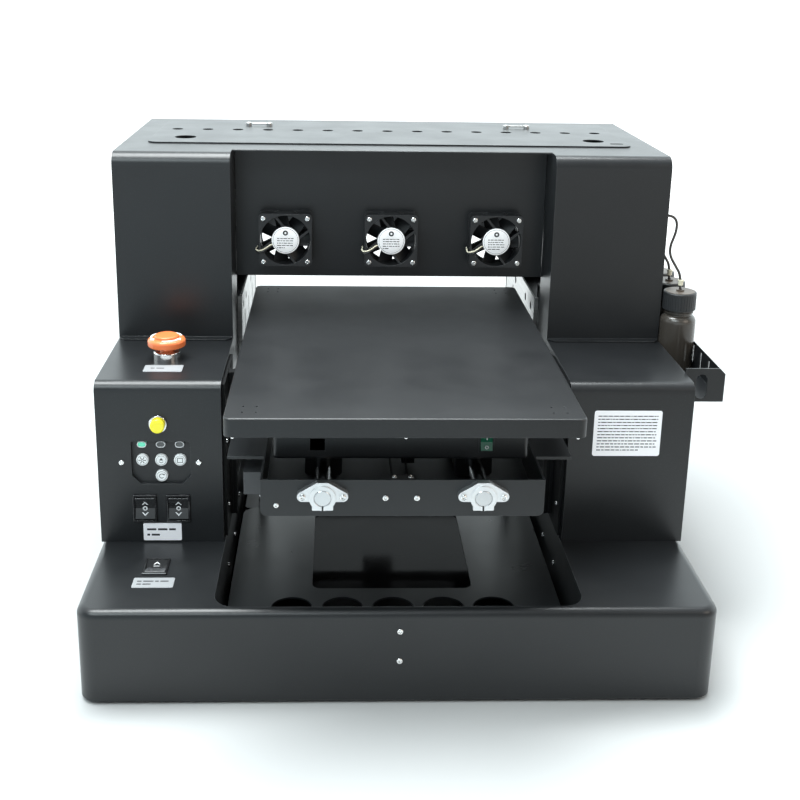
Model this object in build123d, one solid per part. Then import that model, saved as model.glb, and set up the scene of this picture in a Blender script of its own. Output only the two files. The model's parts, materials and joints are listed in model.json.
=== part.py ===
from build123d import *
import math
import os

# Flatbed UV printer, millimetres.
# Origin: centre of the footprint, on the surface the feet stand on.
# +X right, +Y to the back, +Z up.

# ---- driving dimensions ----
WIDTH = 610.0
DEPTH = 576.0
FOOT_H = 4.0
SHEET = 2.0
DECK_Z = 99.0
TOWER_Z = 275.0
TOP_Z = 484.0
TOWER_FRONT = -149.5
COLUMN_FRONT = -2.5
REAR = 286.5
GAP_HALF = 177.8
BEND_R = 10.6
CORNER_R = 18.0

SIDE = WIDTH / 2
FRONT = -DEPTH / 2
WALL_REAR = REAR - 2.2

# deck opening and the well under it
WELL_HALF = 176.5
WELL_FRONT = FRONT + 10.0
WELL_REAR = 278.0
WELL_R = 20.0
WELL_FLOOR_Z = 50.0
WELL_FLOOR_REAR = 30.0
WELL_LINER_Z = 30.0
WINDOW_HALF = 84.3
WINDOW_FRONT = -160.0
WINDOW_REAR = 12.0

# recess between the columns
PANEL_Y = 57.5
PANEL_Z = 333.0
BROW_Y = 29.0

# cooling fans
FAN_SIZE = 60.0
FAN_DEPTH = 25.0
FAN_PITCH = 120.0
FAN_Z = 380.5
FAN_BORE = 28.5
FAN_SCREW = 25.0

# service lid in the top
LID_HALF = 278.0
LID_FRONT = 70.0
LID_REAR = 268.0
LID_LAP = 8.0
LID_T = 1.4
LID_R = 12.0
HANDLE_Z = 4.2

# lift frame, guide shafts and platen
TRAY_HALF = 130.5
TRAY_FRONT = -280.0
TRAY_REAR = 270.0
TRAY_Z0 = 194.0
TRAY_Z1 = 230.0
SHAFT_X = 73.5
SHAFT_Z = 215.0
SHAFT_R = 8.0
SUPPORT_T = 7.0
WING_FRONT = -227.0
BELT_FLOOR_Z = 204.0
Y_PULLEY_Y = 240.0
Y_IDLER_Y = -253.0
SCREW_X = 150.0
SCREW_Y = 60.0
SCREW_R = 5.0
SCREW_TOP = 214.0
Z_MOTOR_TOP = 45.0
Z_RAIL_Y = -90.5
PLATEN_HALF = 161.0
PLATEN_FRONT = -303.7
PLATEN_REAR = 137.3
PLATEN_Z = 299.0
PLATEN_LIP = 17.5
BOX_HALF = 121.0
BOX_FRONT = -236.0
BOX_REAR = 20.0
BOX_Z = 231.0

# controls on the left tower and the deck
CONTROL_X = -240.3
PILOT_Z = 231.0
LENS_Z = 208.6
KEY_Z = 190.6
KEY_LOW_Z = 173.2
KEY_PITCH = 19.2
KEY_R = 6.25
PANEL_W = 60.0
PANEL_Z0 = 165.0
PANEL_Z1 = 212.0
ROCKER_PITCH = 34.4
ROCKER_Z = 137.5
ROCKER_W = 25.0
ROCKER_H = 31.0
DECK_ROCKER_Y = -203.0
ESTOP_Y = -72.0

# ink rack on the right side
RACK_FRONT = -113.0
RACK_REAR = 252.0
RACK_OUT = 347.5
RACK_Z0 = 243.0
RACK_Z1 = 280.0
BOTTLE_X = 325.6
BOTTLE_Y = -3.0
BOTTLE_PITCH = 45.0
BOTTLE_COUNT = 6
BOTTLE_R = 20.0
CAP_R = 18.5
CAP_Z0 = 314.0
CAP_Z1 = 334.0

# ink tubes: half thickness and route from the column wall to the first cap
TUBE_R = 1.5
TUBE_ROUTE = [
    (SIDE, 12.0, 418.0), (312.2, 12.0, 418.0), (318.2, 11.8, 412.8), (319.0, 11.2, 403.5),
    (316.5, 10.2, 394.0), (312.5, 8.8, 384.0), (312.5, 7.0, 373.0), (319.0, 4.0, 362.0),
    (BOTTLE_X, 1.0, 351.0), (BOTTLE_X, 0.0, CAP_Z1 - 3.0),
]

# print gantry
BEAM_Y = 200.0
BEAM_Z = 360.0
BEAM_SIZE = 40.0
BELT_Z = 424.0
BELT_Y = 203.0
BELT_W = 6.0
BELT_T = 1.4
PULLEY_R = 6.4
CARRIAGE_X = 240.0
CARRIAGE_FLOOR = 333.0
HEAD_X = CARRIAGE_X - 15.0
LAMP_X = CARRIAGE_X + 30.0
HEAD_Z = 311.0


# ---- helpers ----
def block(x0, x1, y0, y1, z0, z1):
    """Box given by its limits along each axis."""
    middle = Pos((x0 + x1) / 2, (y0 + y1) / 2, (z0 + z1) / 2)
    return middle * Box(x1 - x0, y1 - y0, z1 - z0)


def rod_x(radius, x0, x1, y, z):
    return Pos((x0 + x1) / 2, y, z) * Rot(0, 90, 0) * Cylinder(radius, x1 - x0)


def rod_y(radius, x, y0, y1, z):
    return Pos(x, (y0 + y1) / 2, z) * Rot(90, 0, 0) * Cylinder(radius, y1 - y0)


def rod_z(radius, x, y, z0, z1):
    return Pos(x, y, (z0 + z1) / 2) * Cylinder(radius, z1 - z0)


def pick(part, along, **at):
    """Edges parallel to an axis whose centre has the given coordinates."""
    chosen = part.edges().filter_by(along)
    for name, value in at.items():
        chosen = chosen.filter_by(lambda e: abs(getattr(e.center(), name) - value) < 0.05)
    return chosen


def mirror_x(part):
    return mirror(part, about=Plane.YZ)


def plate_z(width, depth, radius, x, y, z0, z1):
    """Flat plate with rounded corners, seen from above."""
    return Pos(x, y, z0) * extrude(RectangleRounded(width, depth, radius), z1 - z0)


def plate_y(width, height, radius, x, z, y0, y1):
    """Upright plate with rounded corners, seen from the front."""
    face = Plane((x, y1, z), x_dir=(1, 0, 0), z_dir=(0, -1, 0)) * RectangleRounded(width, height, radius)
    return extrude(face, y1 - y0)


def dome_screw_y(x, y, z, radius, height):
    """Pan head screw whose head stands towards the front."""
    head = rod_y(radius, x, y - height, y, z)
    head = fillet(head.edges().filter_by(GeomType.CIRCLE).sort_by(Axis.Y)[0], height * 0.6)
    cross = block(x - radius * 0.6, x + radius * 0.6, y - height, y - height * 0.6, z - 0.35, z + 0.35)
    cross += block(x - 0.35, x + 0.35, y - height, y - height * 0.6, z - radius * 0.6, z + radius * 0.6)
    return head - cross


def save(name, *solids):
    """Write one node; several solids become a group."""
    shape = solids[0] if len(solids) == 1 else Compound(children=list(solids))
    shape.label = name
    os.makedirs("parts", exist_ok=True)
    export_step(shape, f"parts/{name}.step")


# ---- base ----
def rounded_base(inset):
    """Base block with rounded upright corners and top edge, shrunk by inset."""
    body = block(-SIDE + inset, SIDE - inset, FRONT + inset, -FRONT - inset, FOOT_H, DECK_Z - inset)
    body = fillet(body.edges().filter_by(Axis.Z), CORNER_R - inset)
    top = body.faces().sort_by(Axis.Z)[-1]
    return fillet(top.edges(), 8.0 - inset)


def well_block(grow, z0, z1):
    """Column of space in the deck opening, widened by grow."""
    depth = WELL_REAR - WELL_FRONT
    centre = (WELL_REAR + WELL_FRONT) / 2
    return plate_z(2 * (WELL_HALF + grow), depth + 2 * grow, WELL_R + grow, 0, centre, z0, z1)


def make_base_shell():
    """Base cover open to the well, and the upright wall that lines the well under it."""
    cover = rounded_base(0) - rounded_base(SHEET) - block(-400, 400, -400, 400, 0, FOOT_H + 0.01)
    cover -= well_block(0, FOOT_H, DECK_Z + 5)
    cut_w = ROCKER_W - 2.0
    cut_h = ROCKER_H - 2.0
    cover -= block(
        CONTROL_X - cut_w / 2, CONTROL_X + cut_w / 2,
        DECK_ROCKER_Y - cut_h / 2, DECK_ROCKER_Y + cut_h / 2, DECK_Z - 10, DECK_Z + 5,
    )
    liner = well_block(SHEET, WELL_LINER_Z, DECK_Z - SHEET) - well_block(0, 0, DECK_Z + 5)
    return [cover, liner]


def make_bottom_plate():
    plate = plate_z(2 * (SIDE - 3), DEPTH - 6, CORNER_R - 3, 0, 0, FOOT_H, FOOT_H + SHEET)
    for x in range(-240, 241, 40):
        plate -= plate_z(8, 60, 3.9, x, 225, 0, FOOT_H + 5)
    return plate


def make_feet():
    """Four corner feet and one under the middle of the base."""
    feet = []
    for x, y in ((-265, -245), (265, -245), (-265, 245), (265, 245), (0, 0)):
        foot = rod_z(17, x, y, 0, FOOT_H)
        feet.append(chamfer(foot.edges().sort_by(Axis.Z)[0], 1.5))
    return feet


def make_well_floor():
    """Floor of four butted sheets round a window, five round holes in the front one, on pillars."""
    centre = (WELL_FRONT + 1 + WELL_FLOOR_REAR) / 2
    depth = WELL_FLOOR_REAR - WELL_FRONT - 1
    floor = plate_z(2 * 171.0, depth, 17, 0, centre, WELL_FLOOR_Z - SHEET, WELL_FLOOR_Z)
    window_y = (WINDOW_FRONT + WINDOW_REAR) / 2
    window_depth = WINDOW_REAR - WINDOW_FRONT
    floor -= plate_z(2 * WINDOW_HALF, window_depth, 9, -1.2, window_y, WELL_FLOOR_Z - 5, WELL_FLOOR_Z + 5)
    for i in range(5):
        floor -= rod_z(21.5, (i - 2) * 51.8 - 2.0, -199, WELL_FLOOR_Z - 5, WELL_FLOOR_Z + 5)
    middle = block(-400, 400, WINDOW_FRONT, WINDOW_REAR, 0, DECK_Z)
    sheets = [
        floor & block(-400, 400, -400, WINDOW_FRONT, 0, DECK_Z),
        floor & block(-400, 400, WINDOW_REAR, 400, 0, DECK_Z),
    ]
    sheets += (floor & middle).solids()
    pillars = [
        rod_z(6, x, y, FOOT_H + SHEET, WELL_FLOOR_Z - SHEET)
        for x in (-160, 160)
        for y in (-230, 10)
    ]
    return sheets + pillars


# ---- towers and upper cover ----
def tower_block(inset, z0):
    """Right tower block, its front top edge bent round."""
    x0 = GAP_HALF + inset
    x1 = SIDE - inset
    body = block(x0, x1, TOWER_FRONT + inset, WALL_REAR + (5 if inset else 0), z0, TOWER_Z - inset)
    body = fillet(pick(body, Axis.X, Y=TOWER_FRONT + inset, Z=TOWER_Z - inset), BEND_R - inset)
    return body


def make_tower():
    return tower_block(0, DECK_Z) - tower_block(SHEET, DECK_Z - 5)


def panel_outline(y0, y1, grow):
    """Control panel outline with its two lower corners cut off."""
    half = PANEL_W / 2 + grow
    low = PANEL_Z0 - grow
    high = PANEL_Z1 + grow
    points = [(-half, high), (half, high), (half, low + 9), (half - 9, low), (-half + 9, low), (-half, low + 9)]
    outline = make_face(Polyline(*points, close=True))
    outline = fillet(outline.vertices(), 2.5)
    return extrude(Plane((CONTROL_X, y1, 0), x_dir=(1, 0, 0), z_dir=(0, -1, 0)) * outline, y1 - y0)


def make_left_tower():
    tower = mirror_x(make_tower())
    tower -= panel_outline(TOWER_FRONT - 3, TOWER_FRONT + 5, 0)
    tower -= rod_y(8.2, CONTROL_X - 1.5, TOWER_FRONT - 3, TOWER_FRONT + 5, PILOT_Z)
    for side in (-1, 1):
        x = CONTROL_X - 0.8 + side * ROCKER_PITCH / 2
        tower -= block(
            x - ROCKER_W / 2 + 1, x + ROCKER_W / 2 - 1, TOWER_FRONT - 3, TOWER_FRONT + 5,
            ROCKER_Z - ROCKER_H / 2 + 1, ROCKER_Z + ROCKER_H / 2 - 1,
        )
    tower -= rod_z(11.2, CONTROL_X - 1.5, ESTOP_Y, TOWER_Z - 5, TOWER_Z + 5)
    return tower


def column_block(inset, z0):
    """Right column block with its large front top bend."""
    x0 = GAP_HALF + inset
    x1 = SIDE - inset
    body = block(x0, x1, COLUMN_FRONT + inset, REAR + (5 if inset else 0), z0, TOP_Z - inset)
    body = fillet(pick(body, Axis.X, Y=COLUMN_FRONT + inset, Z=TOP_Z - inset), 14.0 - inset)
    return body


def column_foot_flange():
    """Flange along the foot of the right column, with a chamfered inner end."""
    flange = block(GAP_HALF + 1, SIDE - 1, COLUMN_FRONT - 10, COLUMN_FRONT + 0.5, TOWER_Z, TOWER_Z + SHEET)
    return chamfer(pick(flange, Axis.Z, Y=COLUMN_FRONT - 10), 6)


def make_upper_cover():
    outer = column_block(0, TOWER_Z)
    inner = column_block(SHEET, TOWER_Z - 5)
    centre = block(-GAP_HALF - 1, GAP_HALF + 1, BROW_Y, REAR, TOP_Z - 20, TOP_Z)
    centre = fillet(pick(centre, Axis.X, Y=BROW_Y, Z=TOP_Z), 1.5)
    cover = outer + mirror_x(outer) + centre
    cover -= inner
    cover -= mirror_x(inner)
    cover -= block(-SIDE + SHEET, SIDE - SHEET, PANEL_Y, REAR + 5, TOWER_Z - 5, TOP_Z - SHEET)
    cover -= block(-GAP_HALF, GAP_HALF, BROW_Y - 5, PANEL_Y + 1, TOWER_Z, TOP_Z - SHEET)
    cover += column_foot_flange()
    cover += mirror_x(column_foot_flange())
    lid_depth = LID_REAR - LID_FRONT
    lid_y = (LID_REAR + LID_FRONT) / 2
    hole_w = 2 * (LID_HALF - LID_LAP)
    hole_d = lid_depth - 2 * LID_LAP
    return cover - plate_z(hole_w, hole_d, LID_R - 6, 0, lid_y, TOP_Z - 5, TOP_Z + 5)


def make_service_lid():
    """Lid lying on the cover, with a row of vent holes, two finger holes and a latch slot."""
    depth = LID_REAR - LID_FRONT
    lid_y = (LID_REAR + LID_FRONT) / 2
    lid = plate_z(2 * LID_HALF, depth, LID_R, 0, lid_y, TOP_Z + 0.1, TOP_Z + 0.1 + LID_T)
    for i in range(15):
        lid -= rod_z(6.7, (i - 7) * 36.7, 179, TOP_Z - 5, TOP_Z + 5)
    for x in (-239, 241):
        lid -= rod_z(12.5, x, 111, TOP_Z - 5, TOP_Z + 5)
    return lid - plate_z(16, 6, 2.9, LID_HALF - 14, LID_FRONT + 20, TOP_Z - 5, TOP_Z + 5)


def make_lid_handles():
    """Two low wire handles, each between a pair of round studs."""
    lid_top = TOP_Z + 0.1 + LID_T
    handles = []
    for x in (-160, 165):
        wire = rod_x(1.0, x - 13, x + 13, 217, lid_top + HANDLE_Z - 1.6)
        for side in (-1, 1):
            stud = rod_z(3.8, x + side * 13, 217, lid_top, lid_top + HANDLE_Z)
            wire += fillet(stud.edges().filter_by(GeomType.CIRCLE).sort_by(Axis.Z)[-1], 1.2)
        handles.append(wire)
    return handles


def make_rear_panel():
    panel = block(-SIDE, SIDE, WALL_REAR + 0.2, REAR, DECK_Z + 0.2, TOWER_Z - 0.2)
    panel += block(-SIDE + 2.2, SIDE - 2.2, WALL_REAR + 0.2, REAR, TOWER_Z - 1, TOP_Z - 2.2)
    panel -= block(-172, 172, REAR - 9, REAR + 9, DECK_Z - 1, PANEL_Z)
    for side in (-1, 1):
        for i in range(8):
            panel -= plate_y(60, 5, 2.4, side * 240, 300 + i * 12, REAR - 9, REAR + 9)
    panel -= plate_y(27.6, 20.2, 2, -240, 140, REAR - 9, REAR + 9)
    return panel


def make_inner_side_plates():
    plates = []
    plate = block(172.5, 174.5, 62, 284, DECK_Z + 1, 306)
    for y in (85, 125, 205, 245):
        plate -= rod_x(5, 160, 190, y, 290)
    for y in (105, 165, 225):
        plate -= block(160, 190, y - 3, y + 3, 240, 278)
    plate = plate + block(172.5, 177.7, 62, 64, DECK_Z + 1, 306)
    plates.append(plate)
    plates.append(mirror_x(plate))
    return plates


def make_z_rails():
    """Guide plates on the inner tower walls, each with its linear rail."""
    plate = block(174.8, 177.7, Z_RAIL_Y - 47.5, Z_RAIL_Y + 47.5, DECK_Z + 1, TOWER_Z - 5)
    rail = block(167.8, 174.8, Z_RAIL_Y - 6, Z_RAIL_Y + 6, 105, 268)
    for y_side in (-1, 1):
        groove_y = Z_RAIL_Y + y_side * 6
        rail -= block(169.8, 172.2, groove_y - 1, groove_y + 1, 100, 270)
    return [plate, rail, mirror_x(plate), mirror_x(rail)]


# ---- fan panel and fans ----
def fan_centres():
    return [(i - 1) * FAN_PITCH for i in range(3)]


def make_fan_panel():
    panel = block(-GAP_HALF + 0.3, GAP_HALF - 0.3, PANEL_Y, PANEL_Y + SHEET, PANEL_Z, TOP_Z - SHEET - 0.2)
    hem = block(-GAP_HALF + 0.3, GAP_HALF - 0.3, PANEL_Y, PANEL_Y + 12, PANEL_Z, PANEL_Z + SHEET)
    panel += hem
    for x in fan_centres():
        panel -= rod_y(27.5, x, PANEL_Y - 5, PANEL_Y + 5, FAN_Z)
    return panel


def make_fan_frame(x):
    """Square fan frame with motor boss, spokes and corner holes."""
    y0 = PANEL_Y - FAN_DEPTH
    frame = plate_y(FAN_SIZE, FAN_SIZE, 4.5, x, FAN_Z, y0, PANEL_Y)
    waist = plate_y(FAN_SIZE + 20, FAN_SIZE + 20, 4.5, x, FAN_Z, y0 + 4.5, PANEL_Y - 4.5)
    frame -= waist - rod_y(31.0, x, y0, PANEL_Y, FAN_Z)
    frame -= rod_y(FAN_BORE, x, y0 - 1, PANEL_Y + 1, FAN_Z)
    for sx in (-1, 1):
        for sz in (-1, 1):
            frame -= rod_y(2.2, x + sx * FAN_SCREW, y0 - 1, PANEL_Y + 1, FAN_Z + sz * FAN_SCREW)
    frame += rod_y(15.5, x, y0 + 0.6, y0 + 5, FAN_Z)
    for turn in range(4):
        spoke = Pos(20, 0, 0) * Rot(0, -24, 0) * Box(30, 2.6, 2.6)
        spoke = spoke & Rot(90, 0, 0) * (Cylinder(FAN_BORE + 0.6, 20) - Cylinder(15.2, 20))
        frame += Pos(x, y0 + 2.4, FAN_Z) * Rot(0, -15 - 90 * turn, 0) * spoke
    return frame


def make_impeller(x):
    """Hub cup with seven pitched blades."""
    y0 = PANEL_Y - FAN_DEPTH + 6
    y1 = PANEL_Y - 2
    rotor = rod_y(15.3, x, y0, y1, FAN_Z)
    rotor = fillet(rotor.edges().filter_by(GeomType.CIRCLE).sort_by(Axis.Y)[-1], 3)
    ring = rod_y(27.9, x, y0 + 1, y1, FAN_Z) - rod_y(15.0, x, y0, y1, FAN_Z)
    for turn in range(7):
        blade = Pos(21, 0, 0) * Rot(48, 0, 0) * Box(16, 21, 1.3)
        rotor += (Pos(x, (y0 + y1) / 2, FAN_Z) * Rot(0, turn * 360 / 7, 0) * blade) & ring
    return rotor


# ---- controls ----
def make_control_panel():
    y0 = TOWER_FRONT + SHEET
    panel = panel_outline(y0, y0 + 4, 3)
    panel -= panel_outline(y0 - 1, y0 + 2.5, 0)
    for x, z in key_places():
        panel -= rod_y(KEY_R + 0.35, x, y0 - 1, y0 + 9, z)
    for x in lens_places():
        panel -= plate_y(9.3, 7.0, 3.4, x, LENS_Z, y0 - 1, y0 + 9)
    return panel


def key_places():
    row = [(CONTROL_X + (i - 1) * KEY_PITCH, KEY_Z) for i in range(3)]
    return row + [(CONTROL_X, KEY_LOW_Z)]


def lens_places():
    return [CONTROL_X + (i - 1) * KEY_PITCH for i in range(3)]


def make_key(x, z):
    y0 = TOWER_FRONT + 1.2
    key = rod_y(KEY_R, x, y0, y0 + 9, z)
    return fillet(key.edges().filter_by(GeomType.CIRCLE).sort_by(Axis.Y)[0], 1.0)


def make_lenses():
    lenses = []
    for x in lens_places():
        lens = plate_y(9.2, 6.9, 3.4, x, LENS_Z, TOWER_FRONT + 3.3, TOWER_FRONT + 7)
        front = lens.faces().sort_by(Axis.Y)[0]
        lenses.append(fillet(front.edges(), 0.8))
    return lenses


def make_collars():
    """Emergency stop barrel on the tower top and pilot button barrel."""
    x = CONTROL_X - 1.5
    estop = rod_z(14.2, x, ESTOP_Y, TOWER_Z, TOWER_Z + 9)
    estop = fillet(estop.edges().filter_by(GeomType.CIRCLE).sort_by(Axis.Z)[-1], 2)
    estop += rod_z(10.9, x, ESTOP_Y, TOWER_Z - 38, TOWER_Z)
    estop -= rod_z(8.0, x, ESTOP_Y, TOWER_Z - 20, TOWER_Z + 10)
    pilot = rod_y(9.5, x, TOWER_FRONT - 2.5, TOWER_FRONT, PILOT_Z)
    pilot = chamfer(pilot.edges().filter_by(GeomType.CIRCLE).sort_by(Axis.Y)[0], 0.8)
    pilot += rod_y(7.95, x, TOWER_FRONT, TOWER_FRONT + 24, PILOT_Z)
    pilot -= rod_y(6.9, x, TOWER_FRONT - 9, TOWER_FRONT + 14, PILOT_Z)
    return [estop, pilot]


def make_estop_head():
    x = CONTROL_X - 1.5
    z0 = TOWER_Z + 14.5
    head = rod_z(20, x, ESTOP_Y, z0, z0 + 9)
    head = fillet(head.edges().filter_by(GeomType.CIRCLE).sort_by(Axis.Z)[-1], 4)
    head = fillet(head.edges().filter_by(GeomType.CIRCLE).sort_by(Axis.Z)[0], 1.5)
    boss = rod_z(13, x, ESTOP_Y, z0 + 8, z0 + 12)
    head += fillet(boss.edges().filter_by(GeomType.CIRCLE).sort_by(Axis.Z)[-1], 2)
    head += rod_z(7.5, x, ESTOP_Y, TOWER_Z - 10, z0)
    return head


def make_pilot_button():
    x = CONTROL_X - 1.5
    cap = rod_y(6.55, x, TOWER_FRONT - 7, TOWER_FRONT + 8, PILOT_Z)
    cap += rod_y(7.4, x, TOWER_FRONT - 8, TOWER_FRONT - 5, PILOT_Z)
    return fillet(cap.edges().filter_by(GeomType.CIRCLE).sort_by(Axis.Y)[0], 1.5)


def rocker_frame():
    """Rocker switch frame; local Z points out of the wall, Y up the switch."""
    frame = extrude(RectangleRounded(ROCKER_W, ROCKER_H, 1.2), 2)
    frame = chamfer(frame.faces().sort_by(Axis.Z)[-1].outer_wire().edges(), 0.7)
    frame += Pos(0, 0, -6) * Box(ROCKER_W - 2.2, ROCKER_H - 2.2, 12)
    return frame - Pos(0, 0, -5) * Box(ROCKER_W - 4.2, ROCKER_H - 4.6, 26)


def rocker_key():
    """Rocker with a shallow V face, drawn level; pivot at local (0, 0, -4)."""
    points = [(-12.2, 2.3), (0, -0.2), (12.2, 2.3), (11.0, -5.5), (6.0, -10.0), (-6.0, -10.0), (-11.0, -5.5)]
    side = make_face(Polyline(*points, close=True))
    width = ROCKER_W - 4.9
    key = extrude(Plane((-width / 2, 0, 0), x_dir=(0, 1, 0), z_dir=(1, 0, 0)) * side, width)
    key = fillet(key.edges().filter_by(Axis.X).group_by(Axis.Z)[-1], 0.8)
    return key + Pos(0, 0, -4) * Rot(0, 90, 0) * Cylinder(1.5, width + 0.4)


def rocker_places():
    """Seats of the three rockers: two on the tower front, one on the deck."""
    seats = []
    for side in (-1, 1):
        x = CONTROL_X - 0.8 + side * ROCKER_PITCH / 2
        seats.append(Plane((x, TOWER_FRONT, ROCKER_Z), x_dir=(1, 0, 0), z_dir=(0, -1, 0)))
    seats.append(Plane((CONTROL_X, DECK_ROCKER_Y, DECK_Z), x_dir=(1, 0, 0), z_dir=(0, 0, 1)))
    return seats


def make_labels():
    """Thin rectangular label plates, one rounded notice and three small ones."""
    x = CONTROL_X - 1.0
    y = TOWER_FRONT
    return [
        plate_y(39.5, 19.6, 1.5, x, 110.8, y - 0.4, y),
        plate_z(39.8, 19.5, 1.5, x, -105.2, TOWER_Z, TOWER_Z + 0.4),
        plate_z(40.0, 18.4, 1.5, CONTROL_X + 1.5, -233.5, DECK_Z, DECK_Z + 0.4),
        plate_y(70, 50, 2.5, 238.2, 222, y - 0.4, y),
    ]


def make_screws():
    """Pan head screws on the tower, the base front and the fan corners."""
    screws = []
    for x in (CONTROL_X - 40.0, CONTROL_X + 38.5):
        screws.append(dome_screw_y(x, TOWER_FRONT, 189.0, 3.0, 1.8))
    for z in (78.4, 46.8):
        screws.append(dome_screw_y(0, FRONT, z, 3.0, 1.8))
    for x in fan_centres():
        for sx in (-1, 1):
            for sz in (-1, 1):
                place = (x + sx * FAN_SCREW, PANEL_Y - FAN_DEPTH, FAN_Z + sz * FAN_SCREW)
                screws.append(dome_screw_y(*place, 3.0, 1.8))
    return screws


# ---- ink rack ----
def make_ink_rack():
    inner = SIDE + 0.1
    rack = block(inner, RACK_OUT, RACK_FRONT, RACK_REAR, RACK_Z0, RACK_Z1)
    rack = chamfer(pick(rack, Axis.Y, X=RACK_OUT, Z=RACK_Z1), 6)
    rack -= block(inner, RACK_OUT - 1.5, RACK_FRONT + 1.5, RACK_REAR - 1.5, RACK_Z0 + 1.5, RACK_Z1 + 9)
    for i in range(12):
        y = RACK_FRONT + 24 + i * 28
        rack -= block(RACK_OUT - 9, RACK_OUT + 9, y - 2.5, y + 2.5, RACK_Z0 + 8, RACK_Z1 - 9)
    oblong = plate_y(12, 27, 5.9, 323, 260, RACK_FRONT - 9, RACK_FRONT + 9)
    return rack - oblong


def bottle_ys():
    return [BOTTLE_Y + i * BOTTLE_PITCH for i in range(BOTTLE_COUNT)]


def make_bottle(y):
    """Round shouldered bottle with a neck and a collar ring."""
    z0 = RACK_Z0 + 1.6
    body = rod_z(BOTTLE_R, 0, 0, z0, 308.5)
    body = fillet(body.edges().filter_by(GeomType.CIRCLE).sort_by(Axis.Z)[-1], 9)
    body = fillet(body.edges().filter_by(GeomType.CIRCLE).sort_by(Axis.Z)[0], 2)
    body += rod_z(15.0, 0, 0, 305, CAP_Z0)
    body += rod_z(16.5, 0, 0, 310.0, 311.6)
    body += rod_z(13.0, 0, 0, 305, CAP_Z1 - 4)
    return Pos(BOTTLE_X, y, 0) * body


def make_cap(y):
    """Ribbed screw cap over the bottle neck, with a tube hole."""
    cap = rod_z(CAP_R, 0, 0, CAP_Z0 + 0.1, CAP_Z1)
    cap = fillet(cap.edges().filter_by(GeomType.CIRCLE).sort_by(Axis.Z)[-1], 1.5)
    for i in range(36):
        cap -= Rot(0, 0, i * 10) * rod_z(0.55, CAP_R + 0.15, 0, CAP_Z0 - 1, CAP_Z1 - 2.5)
    cap -= rod_z(13.1, 0, 0, CAP_Z0 - 1, CAP_Z1 - 4)
    cap -= rod_z(TUBE_R + 0.3, 0, 0, CAP_Z0, CAP_Z1 + 1)
    return Pos(BOTTLE_X, y, 0) * cap


def corner_radii(points):
    """Largest tangent arc at each corner: 0.45 of the shorter run over the half turn's tangent."""
    radii = []
    for before, corner, after in zip(points, points[1:], points[2:]):
        run_in = Vector(*corner) - Vector(*before)
        run_out = Vector(*after) - Vector(*corner)
        turn = run_in.get_angle(run_out)
        shorter = min(run_in.length, run_out.length)
        radii.append(0.45 * shorter / math.tan(math.radians(turn / 2)))
    return radii


def make_tube(y):
    """Ink tube from the column wall to the cap of the bottle at y."""
    route = [(px, py + y, pz) for px, py, pz in TUBE_ROUTE]
    radii = corner_radii(route)
    path = FilletPolyline(*route, radius=radii)
    tube = sweep(Plane(path @ 0, z_dir=path % 0) * Circle(TUBE_R), path=path)
    if y == BOTTLE_Y:
        print("ink tube radii", [round(r, 1) for r in radii], "length", round(path.length, 1))
        print("tube volume", round(tube.volume, 1), "expected", round(math.pi * TUBE_R**2 * path.length, 1))
    return tube


# ---- print gantry ----
def belt_loop(length, height):
    """Closed flat belt round two pulleys; local X along the belt, Z across it."""
    inner_r = PULLEY_R + 0.35
    outer = SlotCenterToCenter(length, 2 * (inner_r + BELT_T))
    inner = SlotCenterToCenter(length, 2 * inner_r)
    return extrude(outer - inner, height)


def make_gantry():
    beam = block(-SIDE + 6, SIDE - 6, BEAM_Y, BEAM_Y + BEAM_SIZE, BEAM_Z, BEAM_Z + BEAM_SIZE)
    for z in (BEAM_Z, BEAM_Z + BEAM_SIZE):
        beam -= block(-400, 400, BEAM_Y + 16, BEAM_Y + 24, z - 8, z + 8)
    beam -= block(-400, 400, BEAM_Y + BEAM_SIZE - 8, BEAM_Y + BEAM_SIZE + 8, BEAM_Z + 16, BEAM_Z + 24)
    rail = block(-SIDE + 16, SIDE - 16, BEAM_Y - 8, BEAM_Y, BEAM_Z + 14, BEAM_Z + 26)
    feet = []
    for side in (-1, 1):
        x = side * 270
        feet.append(block(x - 18, x + 18, BEAM_Y + 2, BEAM_Y + 38, TOWER_Z, BEAM_Z))
    return [beam, rail] + feet


def make_x_motor():
    motor = block(-296, -254, BELT_Y + 12, BELT_Y + 50, BELT_Z - 21, BELT_Z + 21)
    motor = chamfer(motor.edges().filter_by(Axis.Y), 3)
    motor += rod_y(11, -275, BELT_Y + 10, BELT_Y + 13, BELT_Z)
    return motor - rod_y(3, -275, BELT_Y + 9, BELT_Y + 22, BELT_Z)


def make_x_belt():
    loop = belt_loop(560, BELT_W)
    seat = Plane((5, BELT_Y + BELT_W, BELT_Z), x_dir=(1, 0, 0), z_dir=(0, -1, 0))
    idler = rod_y(PULLEY_R, 285, BELT_Y - 1, BELT_Y + BELT_W + 1, BELT_Z)
    return [seat * loop, idler]


def drive_pulley():
    """Toothed belt pulley with two flanges and a shaft; axis along local Z."""
    pulley = Cylinder(PULLEY_R, 7.4)
    for i in range(20):
        pulley -= Rot(0, 0, i * 18) * Pos(PULLEY_R + 0.25, 0, 0) * Cylinder(0.6, 9)
    for side in (-1, 1):
        pulley += Pos(0, 0, side * 4.3) * Cylinder(9.0, 1.2)
    return pulley + Pos(0, 0, -10) * Cylinder(2.5, 12)


def make_x_pulley():
    return Pos(-275, BELT_Y + BELT_W / 2, BELT_Z) * Rot(90, 0, 0) * drive_pulley()


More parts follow.
